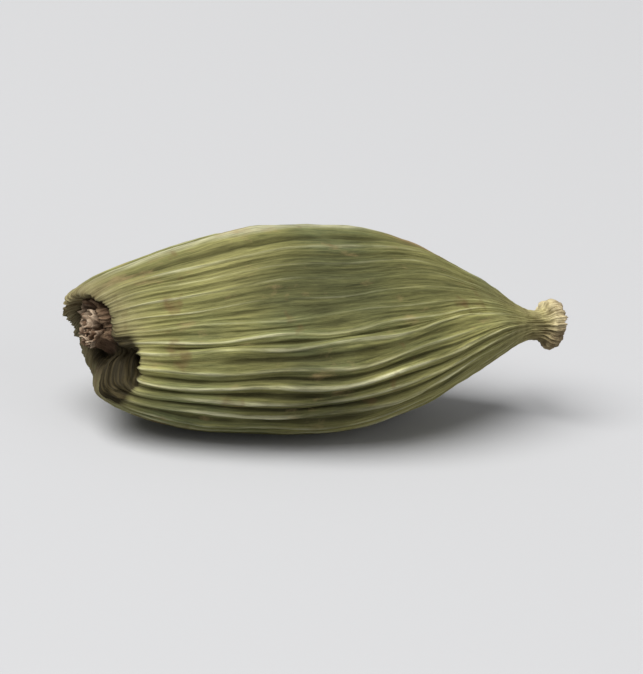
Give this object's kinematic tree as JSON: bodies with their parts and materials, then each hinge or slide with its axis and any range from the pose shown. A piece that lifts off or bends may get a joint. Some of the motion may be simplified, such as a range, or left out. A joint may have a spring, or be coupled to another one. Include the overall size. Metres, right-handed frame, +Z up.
{
  "type": "green cardamom pod",
  "caption": "Dried whole green cardamom pod: ribbed three-sided husk with a blunt withered flower end and a small stalk cup, lying on one face.",
  "frame": {"origin": "on the surface that the pod lies on, under the middle of its bounding box", "axes": "+X along the pod from the flower end to the stalk end, +Z up, -Y the side that the picture shows"},
  "size_m": [0.0208, 0.0086, 0.0078],
  "materials": {
    "husk": "dry, matt, fibrous; pale ribs over olive-green grooves, tan stalk cup, brown flower end"
  },
  "bodies": {
    "root": {"pod": "husk"}
  },
  "joints": []
}
